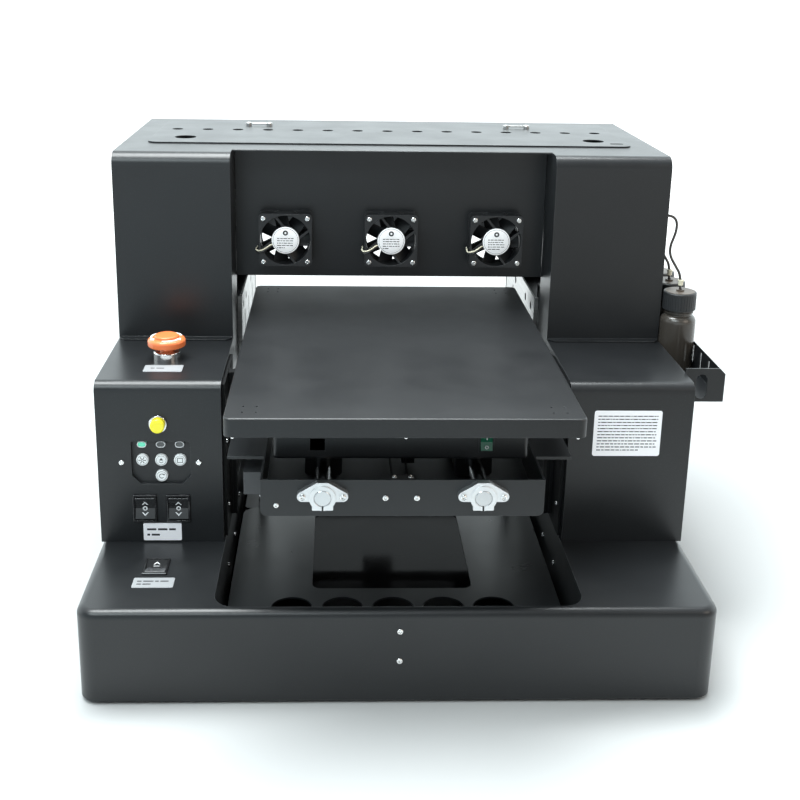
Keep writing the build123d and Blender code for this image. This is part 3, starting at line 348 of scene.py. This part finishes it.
def centre(name):
    low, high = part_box(name)
    return (low + high) / 2


def loop_of(bm, place, points):
    return [bm.verts.new(place @ Vector(point)) for point in points]


def circle(radius, height, segments):
    """Points of a circle at a height."""
    step = 2 * math.pi / segments
    return [(radius * math.cos(i * step), radius * math.sin(i * step), height) for i in range(segments)]


def bridge(bm, loops, closed=False):
    """Join loops of equally many points with quads."""
    pairs = list(zip(loops, loops[1:]))
    if closed:
        pairs.append((loops[-1], loops[0]))
    for lower, upper in pairs:
        for i in range(len(lower)):
            j = (i + 1) % len(lower)
            bm.faces.new((lower[i], lower[j], upper[j], upper[i]))


def cap_ends(bm, loops):
    bm.faces.new(loops[-1])
    bm.faces.new(list(reversed(loops[0])))


def disc_stack(bm, place, rings, segments):
    """Turned shape: rings are (radius, height) from the foot to the top."""
    loops = [loop_of(bm, place, circle(radius, height, segments)) for radius, height in rings]
    bridge(bm, loops)
    cap_ends(bm, loops)


def prism(bm, place, outline, z0, z1, inset=0.0):
    """Flat shape from an outline, its top edge drawn in by inset."""
    cx = sum(x for x, y in outline) / len(outline)
    cy = sum(y for x, y in outline) / len(outline)
    size = max(max(abs(x - cx), abs(y - cy)) for x, y in outline)
    pull = 1 - inset / size
    rows = [[(x, y, z0) for x, y in outline]]
    if inset:
        rows.append([(x, y, z1 - inset) for x, y in outline])
    rows.append([(cx + (x - cx) * pull, cy + (y - cy) * pull, z1) for x, y in outline])
    loops = [loop_of(bm, place, row) for row in rows]
    bridge(bm, loops)
    cap_ends(bm, loops)


def bar(bm, place, x0, x1, y0, y1, z0, z1, inset=0.0):
    prism(bm, place, [(x0, y0), (x1, y0), (x1, y1), (x0, y1)], z0, z1, inset)


def ring(bm, place, inner, outer, z0, z1, segments=32):
    """Flat ring."""
    corners = ((inner, z0), (outer, z0), (outer, z1), (inner, z1))
    bridge(bm, [loop_of(bm, place, circle(radius, z, segments)) for radius, z in corners], closed=True)


def arc_band(bm, place, inner, outer, z0, z1, start, end, segments):
    """Part of a flat ring between two angles in degrees."""
    sections = []
    for i in range(segments + 1):
        a = math.radians(start + (end - start) * i / segments)
        corners = ((inner, z0), (outer, z0), (outer, z1), (inner, z1))
        sections.append(loop_of(bm, place, [(r * math.cos(a), r * math.sin(a), z) for r, z in corners]))
    bridge(bm, sections)
    cap_ends(bm, sections)


def slot_outline(half, radius, segments):
    """Outline with half round ends, its end centres half away from the middle."""
    points = []
    for side, start in ((1, -90), (-1, 90)):
        for i in range(segments + 1):
            a = math.radians(start + 180 * i / segments)
            points.append((side * half + radius * math.cos(a), radius * math.sin(a)))
    return points


def slot_ring(bm, place, width, height, rim, z0, z1):
    """Rim round an opening with half round ends."""
    half = (width - height) / 2
    loops = []
    for grow, z in ((0.0, z0), (rim, z0), (rim, z1), (0.0, z1)):
        outline = slot_outline(half, height / 2 + grow, 10)
        loops.append(loop_of(bm, place, [(x, y, z) for x, y in outline]))
    bridge(bm, loops, closed=True)


def hexagon(radius, height, segments):
    """Points of a hexagon at a height, as many as a circle has."""
    points = []
    for i in range(segments):
        a = 2 * math.pi * i / segments
        wedge = (a + math.pi / 6) % (math.pi / 3) - math.pi / 6
        r = radius / math.cos(wedge)
        points.append((r * math.cos(a), r * math.sin(a), height))
    return points


def hex_screw(bm, place, radius, height):
    """Button head screw: domed rim, hexagon recess."""
    segments = 24
    rows = [circle(radius, 0.0, segments), circle(radius, height * 0.35, segments)]
    rows += [circle(radius * 0.9, height * 0.75, segments), circle(radius * 0.62, height, segments)]
    rows += [hexagon(radius * 0.42, height * share, segments) for share in (0.98, 0.3)]
    loops = [loop_of(bm, place, row) for row in rows]
    bridge(bm, loops)
    cap_ends(bm, loops)


def text_lines(bm, place, width, rows, top, pitch, height, seed):
    """Rows of short dashes that read as small print from afar, with no letters."""
    draw = random.Random(seed)
    for row in range(rows):
        x = -width / 2
        end = width / 2 * (1 if row < rows - 1 else draw.uniform(-0.2, 0.6))
        y = top - row * pitch
        while x < end - height:
            dash = draw.uniform(0.8, 3.2) * height * 1.6
            bar(bm, place, x, min(x + dash, end), y - height / 2, y + height / 2, 0, INK)
            x += dash + height * 0.8


def wire(name, points, radius, mat, body, resolution=4):
    """Round curve of one open spline that starts and ends at its outer points."""
    data = bpy.data.curves.new(name, "CURVE")
    data.dimensions = "3D"
    data.bevel_depth = radius
    data.bevel_resolution = resolution
    data.resolution_u = 12
    data.use_fill_caps = True
    spline = data.splines.new("NURBS")
    spline.points.add(len(points) - 1)
    for point, value in zip(spline.points, points):
        point.co = (*value, 1)
    spline.order_u = 3
    spline.use_endpoint_u = True
    data.materials.append(mat)
    obj = bpy.data.objects.new(name, data)
    scene.collection.objects.link(obj)
    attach(obj, body)
    return obj


# ---- fans ----
def hub_label(i, middle):
    """White disc on the motor boss, with a ring, a round mark and rows of dashes."""
    bm = bmesh.new()
    disc_stack(bm, at(middle), [(0.0156, 0.0), (0.0156, 0.0003), (0.0153, 0.0005), (0.006, 0.0005)], 48)
    add_mesh(f"hub_label_{i}", bm, HUB_WHITE, "housing")
    bm = bmesh.new()
    face = shifted(at(middle), 0, 0, 0.0005)
    text_lines(bm, face, 0.019, 5, 0.0022, 0.0027, 0.0009, 10 + i)
    ring(bm, face, 0.0139, 0.0142, 0, INK, 48)
    ring(bm, shifted(face, 0, 0.0085), 0.0012, 0.0030, 0, INK, 20)
    add_mesh(f"hub_print_{i}", bm, PRINT_BLACK, "housing")


def fan_leads(i, middle):
    """Two leads from the boss, over a spoke and round the frame's edge."""
    route = [
        (-0.0150, 0.0345, -0.0052), (-0.0185, 0.0318, -0.0060), (-0.0220, 0.0306, -0.0088),
        (-0.0275, 0.0300, -0.0115), (-0.0325, 0.0312, -0.0120), (-0.0335, 0.0370, -0.0105),
        (-0.0322, 0.0470, -0.0100),
    ]
    for letter, drop, mat in (("a", 0.0, IVORY), ("b", 0.0022, MATS["black_plastic"])):
        points = [(middle.x + x, y, middle.z + z - drop) for x, y, z in route]
        wire(f"fan_lead_{i}{letter}", points, 0.0008, mat, "housing")


HUB_Y = 0.0331
for i in (1, 2, 3):
    boss = Vector((centre(f"fan_impeller_{i}").x, HUB_Y, centre("fan_frames").z))
    hub_label(i, boss)
    fan_leads(i, boss)


# ---- status lenses ----
def lens_caps():
    """Raised oval rims with a lens in each, the left one green."""
    low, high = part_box("status_lenses")
    half = 0.0046
    depth = 0.0034
    xs = [low.x + half, (low.x + high.x) / 2, high.x - half]
    places = [at((x, low.y + 0.0012, (low.z + high.z) / 2 - 0.0005)) for x in xs]
    bm = bmesh.new()
    for place in places:
        slot_ring(bm, place, 0.0080, 0.0052, 0.0007, 0.0, depth)
    add_mesh("lens_rims", bm, PRINT_WHITE, "housing")
    for i, place in enumerate(places):
        bm = bmesh.new()
        prism(bm, place, slot_outline(0.0014, 0.0026, 8), 0.0, depth - 0.0002, 0.0006)
        add_mesh(f"lens_cap_{i + 1}", bm, MATS["lens"] if i else LENS_GREEN, "housing")
    second_material("status_lenses", LENS_GREEN, lambda face: face.center.x < xs[0] + half * 1.2)


lens_caps()


# ---- key symbols ----
def spark(bm, place):
    for i in range(6):
        bar(bm, turned(place, 60 * i), 0.0018, 0.0038, -0.0004, 0.0004, 0, KEY_INK)
    ring(bm, place, 0.0009, 0.0014, 0, KEY_INK, 16)


def drop(bm, place):
    prism(bm, place, [(-0.0020, 0.0), (0.0020, 0.0), (0.0, 0.0026)], 0, KEY_INK)
    arc_band(bm, shifted(place, 0, -0.0006), 0.0017, 0.0022, 0, KEY_INK, 200, 340, 14)


def sheet_mark(bm, place):
    line = 0.0003
    for side in (-1, 1):
        x, y = side * 0.0026, side * 0.0024
        bar(bm, place, x - line, x + line, -0.0024, 0.0024, 0, KEY_INK)
        bar(bm, place, -0.0026, 0.0026, y - line, y + line, 0, KEY_INK)


def turn_arrow(bm, place):
    arc_band(bm, place, 0.0020, 0.0026, 0, KEY_INK, 40, 320, 24)
    prism(bm, place, [(0.0014, 0.0010), (0.0034, 0.0010), (0.0024, 0.0028)], 0, KEY_INK)


for i, symbol in enumerate((spark, drop, sheet_mark, turn_arrow), 1):
    middle = centre(f"panel_button_{i}")
    place = at((middle.x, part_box(f"panel_button_{i}")[0].y, middle.z))
    bm = bmesh.new()
    symbol(bm, place)
    ring(bm, place, 0.0048, 0.0051, 0, KEY_INK, 40)
    add_mesh(f"key_symbol_{i}", bm, PRINT_BLACK, f"key_{i}")

# ---- rocker marks ----
TOWER_FRONT = -0.1495
DECK_Z = 0.099
ROCKER_TILT = 11.5


def arrow_head(bm, place, side):
    """Open arrow head on one half of a rocker, side 1 up and -1 down."""
    face = turned(shifted(place, 0, side * 0.0062, 0.00125), side * ROCKER_TILT, "X")
    tip = side * 0.0020
    outline = [(-0.0034, -tip), (0.0, tip), (0.0034, -tip), (0.0022, -tip), (0.0, tip * 0.1), (-0.0022, -tip)]
    prism(bm, face, outline[::side], 0, 0.00012)


for side in ("left", "right"):
    middle = centre(f"rocker_{side}")
    place = at((middle.x, TOWER_FRONT, middle.z))
    bm = bmesh.new()
    arrow_head(bm, place, 1)
    arrow_head(bm, place, -1)
    ring(bm, shifted(place, 0, 0, 0.0003), 0.0013, 0.0024, 0, 0.0001, 24)
    add_mesh(f"rocker_marks_{side}", bm, PRINT_WHITE, f"switch_{side}")

middle = centre("rocker_deck")
place = at((middle.x, middle.y, DECK_Z), UP, BACK)
bm = bmesh.new()
arrow_head(bm, place, 1)
bar(bm, shifted(place, 0, 0.0012, 0.0005), -0.0030, 0.0030, -0.0004, 0.0004, 0, 0.0003)
add_mesh("rocker_marks_deck", bm, PRINT_WHITE, "switch_deck")

middle = centre("suction_rocker")
place = at((middle.x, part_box("suction_rocker")[0].y, middle.z))
bm = bmesh.new()
bar(bm, shifted(place, 0, 0.0045, -0.0009), -0.0004, 0.0004, -0.0018, 0.0018, 0, 0.0004)
ring(bm, shifted(place, 0, -0.0046, -0.0001), 0.0012, 0.0018, 0, 0.00015, 20)
add_mesh("air_switch_marks", bm, PRINT_WHITE, "bed_switch")


# ---- turning arrows on the emergency stop ----
def stop_arrows():
    middle = centre("estop_head")
    place = at((middle.x, middle.y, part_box("estop_head")[1].z - 0.003), UP, BACK)
    sweep = 70
    bm = bmesh.new()
    for start in (20, 140, 260):
        arc_band(bm, place, 0.0152, 0.0168, -0.001, 0.0008, start, start + sweep, 14)
        head = [(0.0136, -0.0004), (0.0184, -0.0004), (0.0160, 0.0042)]
        prism(bm, turned(place, start + sweep), head, -0.001, 0.0007)
    add_mesh("stop_arrows", bm, MATS["label_white"], "stop_head")


stop_arrows()


# ---- label prints: place, facing, then width, rows, top row, pitch, height and seed of the dashes ----
def label_print(name, point, normal, up, width, rows, top, pitch, height, seed):
    bm = bmesh.new()
    text_lines(bm, at(point, normal, up), width, rows, top, pitch, height, seed)
    add_mesh(name, bm, PRINT_BLACK, "housing")


STICKER = 0.0004
REAR = 0.2865
PLATE_T = 0.0005
RATING_X, RATING_Z = 0.240, 0.170
FRONT_FACE = TOWER_FRONT - STICKER
label_print("notice_print", (0.2382, FRONT_FACE, 0.222), FRONT, UP, 0.062, 12, 0.019, 0.0034, 0.0011, 5)
label_print("tower_label_print", (-0.2413, FRONT_FACE, 0.1108), FRONT, UP, 0.032, 2, 0.0028, 0.0062, 0.0022, 6)
label_print("stop_label_print", (-0.2413, -0.1052, 0.275 + STICKER), UP, BACK, 0.026, 1, 0.0, 0.005, 0.0022, 7)
label_print("deck_label_print", (-0.2388, -0.2335, DECK_Z + STICKER), UP, BACK, 0.032, 2, 0.0025, 0.0055, 0.0020, 8)
bm = bmesh.new()
bar(bm, at((RATING_X, REAR, RATING_Z), BACK), -0.030, 0.030, -0.020, 0.020, 0, PLATE_T, 0.0002)
add_mesh("rating_plate", bm, MATS["label_white"], "housing")
label_print("rating_print", (RATING_X, REAR + PLATE_T, RATING_Z), BACK, UP, 0.050, 7, 0.0135, 0.0043, 0.0013, 9)


# ---- fasteners ----
def screw_set(name, body, normal, points, radius, height):
    """One piece with a button head screw at each point, all facing one way."""
    add_screws(name, body, [(point, normal) for point in points], radius, height)


def add_screws(name, body, spots, radius, height):
    """One piece with a button head screw at each (point, outward normal)."""
    bm = bmesh.new()
    for point, normal in spots:
        hex_screw(bm, at(point, normal, BACK if normal in (UP, DOWN) else UP), radius, height)
    add_mesh(name, bm, MATS["bright_screw"], body)


SHAFT_X = 0.0735
SUPPORT_EAR = 0.0184
EAR_Z = 0.2164
tray_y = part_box("lift_frame")[0].y
bed_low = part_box("platen")[0]
ear_xs = [side * SHAFT_X + ear * SUPPORT_EAR for side in (-1, 1) for ear in (-1, 1)]
screw_set("tray_bolts", "lift", FRONT, [(x, tray_y, 0.2125) for x in (-0.0160, 0.0129)], 0.0030, 0.0020)
screw_set("tray_screw", "lift", FRONT, [(-0.116, tray_y, 0.205)], 0.0026, 0.0016)
ears = [((x, -0.287, EAR_Z), FRONT) for x in ear_xs] + [((x, 0.277, EAR_Z), BACK) for x in ear_xs]
add_screws("support_bolts", "lift", ears, 0.0030, 0.0022)
clamps = [(side * SHAFT_X + 0.0055, -0.2835, 0.2032) for side in (-1, 1)]
screw_set("clamp_bolts", "lift", DOWN, clamps, 0.0022, 0.0016)
screw_set("idler_screws", "lift", UP, [(x, -0.2700, 0.2280) for x in (-0.0075, 0.0075)], 0.0027, 0.0018)
bed_edge = [(x, bed_low.y + 0.0010, bed_low.z) for x in (-0.1525, 0.0, 0.1525)]
screw_set("bed_edge_screws", "bed", DOWN, bed_edge, 0.0016, 0.0012)

# screws on the inner walls of the towers and of the well, each at (y, z)
RAIL_FACE = 0.1748
WELL_FACE = 0.1765
RAIL_RIGHT = ((-0.063, 0.132), (-0.125, 0.131), (-0.057, 0.240), (-0.131, 0.205))
RAIL_LEFT = ((-0.056, 0.129), (-0.120, 0.128), (-0.057, 0.240), (-0.129, 0.204))
WELL_RIGHT = ((-0.057, 0.058), (-0.121, 0.058))
WELL_LEFT = ((-0.120, 0.056), (-0.043, 0.052), (0.018, 0.073))
screw_set("wall_screws_right", "housing", LEFT, [(RAIL_FACE, y, z) for y, z in RAIL_RIGHT], 0.0026, 0.0016)
screw_set("wall_screws_left", "housing", RIGHT, [(-RAIL_FACE, y, z) for y, z in RAIL_LEFT], 0.0026, 0.0016)
well_spots = [((WELL_FACE, y, z), LEFT) for y, z in WELL_RIGHT]
well_spots += [((-WELL_FACE, y, z), RIGHT) for y, z in WELL_LEFT]
add_screws("well_screws", "housing", well_spots, 0.0026, 0.0016)
rear_points = [(x, REAR, z) for x in (-0.295, -0.185, 0.185, 0.295) for z in (0.115, 0.262, 0.345, 0.465)]
rear_points += [(x, REAR, z) for z in (0.345, 0.465) for x in (-0.09, 0.0, 0.09)]
screw_set("rear_screws", "housing", BACK, rear_points, 0.0030, 0.0018)

# ---- ink bottles and tubes ----
BOTTLE_X = 0.3256
BOTTLE_YS = [-0.003 + i * 0.045 for i in range(6)]
CAP_TOP = 0.334
TUBE_R = 0.0015
TUBE_ROUTE = [
    (0.305, 0.0120, 0.418), (0.3122, 0.0120, 0.418), (0.3182, 0.0118, 0.4128), (0.3190, 0.0112, 0.4035),
    (0.3165, 0.0102, 0.394), (0.3125, 0.0088, 0.384), (0.3125, 0.0070, 0.373), (0.3190, 0.0040, 0.362),
    (0.3256, 0.0010, 0.351), (0.3256, 0.0, 0.331),
]

for i, bottle_y in enumerate(BOTTLE_YS):
    route = [(x, y + bottle_y, z) for x, y, z in TUBE_ROUTE]
    tube = wire(f"ink_tube_{i + 1}", route, TUBE_R, MATS["tube_clear"], "housing", 6)
    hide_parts("ink_tubes")


def ring_row(name, x, y_offset, z, normal, rings, mat):
    """The same rings at each bottle, each (inner, outer, low, high, segments)."""
    bm = bmesh.new()
    for bottle_y in BOTTLE_YS:
        place = at((x, bottle_y + y_offset, z), normal, UP if normal == RIGHT else BACK)
        for inner, outer, low, high, segments in rings:
            ring(bm, place, inner, outer, low, high, segments)
    add_mesh(name, bm, mat, "housing")


# Tops of the caps in the painted highlight colour.
ring_row("cap_tops", BOTTLE_X, 0.0, CAP_TOP, UP,
         [(0.0026, 0.0163, 0.0, 0.0004, 40), (0.0024, 0.0045, 0.0004, 0.0020, 24)], CAP_TOP_HIGHLIGHT)
ring_row("tube_grommets", 0.305, 0.012, 0.418, RIGHT,
         [(0.0016, 0.0042, 0.0, 0.0016, 28)], MATS["foot_rubber"])
ring_row("tube_connectors", BOTTLE_X, 0.0008, 0.3405, UP,
         [(0.0015, 0.0027, 0.0, 0.0065, 24), (0.0027, 0.0033, 0.0045, 0.0065, 24)], IVORY)


# ---- floor ----
def floor_material():
    """Pale floor, dimmer near the viewer and glowing far off, which hides the horizon from the photo's side."""
    mat = bpy.data.materials.new("floor_white")
    mat.use_nodes = True
    tree = mat.node_tree
    shader = tree.nodes["Principled BSDF"]
    shader.inputs["Roughness"].default_value = 0.7
    place = tree.nodes.new("ShaderNodeTexCoord").outputs["Object"]
    parts = tree.nodes.new("ShaderNodeSeparateXYZ")
    tree.links.new(place, parts.inputs["Vector"])
    x, y = parts.outputs["X"], parts.outputs["Y"]
    # The floor nearer the viewer is darker and tinted cool on the left and warm on the right: painted shade and a
    # painted tint of the lamps, seen in the machine's front faces.
    painted_front_shade = mixed(tree, ranged(tree, x, -0.3, 0.5, smooth=True), (0.30, 0.35, 0.37), (0.25, 0.24, 0.225))
    colour = mixed(tree, ranged(tree, y, -1.0, -0.5, smooth=True), painted_front_shade, (0.52, 0.53, 0.53))
    tree.links.new(colour, shader.inputs["Base Color"])
    reach = tree.nodes.new("ShaderNodeVectorMath")
    reach.operation = "LENGTH"
    tree.links.new(place, reach.inputs[0])
    far = reach.outputs["Value"]
    none, full = (0.0, 0.0, 0.0), (0.9, 0.9, 0.9)
    glow = mixed(tree, ranged(tree, far, 0.9, 2.0, smooth=True), none, full)
    behind = mixed(tree, ranged(tree, y, -0.3, 0.4, smooth=True), none, glow)
    all_round = mixed(tree, ranged(tree, far, 1.9, 3.2, smooth=True), behind, full)
    tree.links.new(all_round, shader.inputs["Emission Color"])
    shader.inputs["Emission Strength"].default_value = 1.0
    return mat


bm = bmesh.new()
bmesh.ops.create_grid(bm, x_segments=8, y_segments=8, size=9.0)
floor_mesh = bpy.data.meshes.new("floor")
bm.to_mesh(floor_mesh)
bm.free()
floor_mesh.materials.append(floor_material())
floor = bpy.data.objects.new("floor", floor_mesh)
scene.collection.objects.link(floor)


# ---- light ----
def studio_world():
    """White behind, cool to the front left, warm and dim to the front right, darker higher up."""
    world = bpy.data.worlds.new("studio")
    world.use_nodes = True
    tree = world.node_tree
    parts = tree.nodes.new("ShaderNodeSeparateXYZ")
    tree.links.new(tree.nodes.new("ShaderNodeTexCoord").outputs["Generated"], parts.inputs["Vector"])
    x, y, z = (parts.outputs[axis] for axis in "XYZ")
    across = ranged(tree, x, -0.3, 0.7, smooth=True)
    low = mixed(tree, across, (0.90, 1.05, 1.14), (0.62, 0.57, 0.51))
    middle = mixed(tree, across, (0.30, 0.34, 0.37), (0.17, 0.16, 0.15))
    front = mixed(tree, ranged(tree, z, 0.10, 0.35, smooth=True), low, middle)
    back = mixed(tree, ranged(tree, z, 0.35, 0.85, smooth=True), (1.85, 2.05, 2.10), (0.8, 0.86, 0.9))
    around = mixed(tree, ranged(tree, y, -0.25, 0.15, smooth=True), front, back)
    sky = mixed(tree, ranged(tree, z, 0.80, 0.95, smooth=True), around, (0.75, 0.80, 0.83))
    background = tree.nodes["Background"]
    background.inputs["Strength"].default_value = 1.0
    tree.links.new(sky, background.inputs["Color"])
    return world


def area_light(name, place, target, size, power, colour):
    data = bpy.data.lights.new(name, "AREA")
    data.shape = "RECTANGLE"
    data.size, data.size_y = size
    data.energy = power
    data.color = colour
    obj = bpy.data.objects.new(name, data)
    scene.collection.objects.link(obj)
    obj.location = place
    obj.rotation_mode = "QUATERNION"
    obj.rotation_quaternion = (Vector(target) - Vector(place)).to_track_quat("-Z", "Y")


scene.world = studio_world()
area_light("key", (-0.9, -1.5, 2.0), (0, 0, 0.25), (1.5, 0.7), 26, (0.85, 0.97, 1.0))
area_light("fill", (1.5, -1.2, 1.3), (0, 0, 0.2), (1.0, 1.0), 8, (1.0, 0.88, 0.76))
area_light("top", (-0.25, 0.25, 2.2), (0, 0, 0.3), (1.9, 0.9), 100, (0.94, 0.99, 1.0))

# ---- camera: focal length and shift as shares of the frame's width, angles in radians ----
CAMERA_AT = Vector((-0.0633, -1.2461, 0.6788))
FOCAL = 1.444
SHIFT = (0.03125, -0.125)
YAW, PITCH, ROLL = 0.036, 0.280, 0.016
SENSOR = 36

forward = Vector((math.sin(YAW) * math.cos(PITCH), math.cos(YAW) * math.cos(PITCH), -math.sin(PITCH)))
level = Vector((math.cos(YAW), -math.sin(YAW), 0))
above = level.cross(forward)
camera_right = level * math.cos(ROLL) + above * math.sin(ROLL)
camera_up = -level * math.sin(ROLL) + above * math.cos(ROLL)
camera_data = bpy.data.cameras.new("camera")
camera_data.sensor_width = SENSOR
camera_data.lens = FOCAL * SENSOR
camera_data.shift_x, camera_data.shift_y = SHIFT
camera = bpy.data.objects.new("camera", camera_data)
scene.collection.objects.link(camera)
facing = Matrix((camera_right, camera_up, -forward)).transposed().to_4x4()
camera.matrix_world = Matrix.Translation(CAMERA_AT) @ facing
scene.camera = camera
scene.view_settings.view_transform = "Standard"
